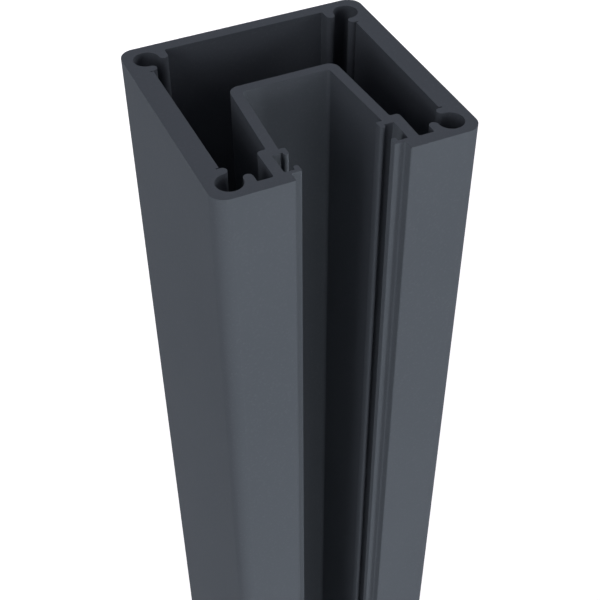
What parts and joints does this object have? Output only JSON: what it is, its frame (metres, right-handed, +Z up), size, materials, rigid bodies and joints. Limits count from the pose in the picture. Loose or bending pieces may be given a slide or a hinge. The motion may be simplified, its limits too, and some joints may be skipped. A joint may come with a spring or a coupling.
{
  "type": "metal fence post",
  "caption": "Square aluminium fence post, a powder coated extrusion with a lipped channel down its front for the ends of fence boards and a screw port in each corner.",
  "frame": {"origin": "middle of the foot, on the sawn lower end", "axes": "+Z up along the post, -Y out of the board channel's mouth, +X to the right as one faces the mouth"},
  "size_m": [0.06, 0.06, 1.9],
  "materials": {
    "powder_coat": "fine matt powder coat, anthracite grey"
  },
  "bodies": {
    "root": {"post": "powder_coat"}
  },
  "joints": []
}
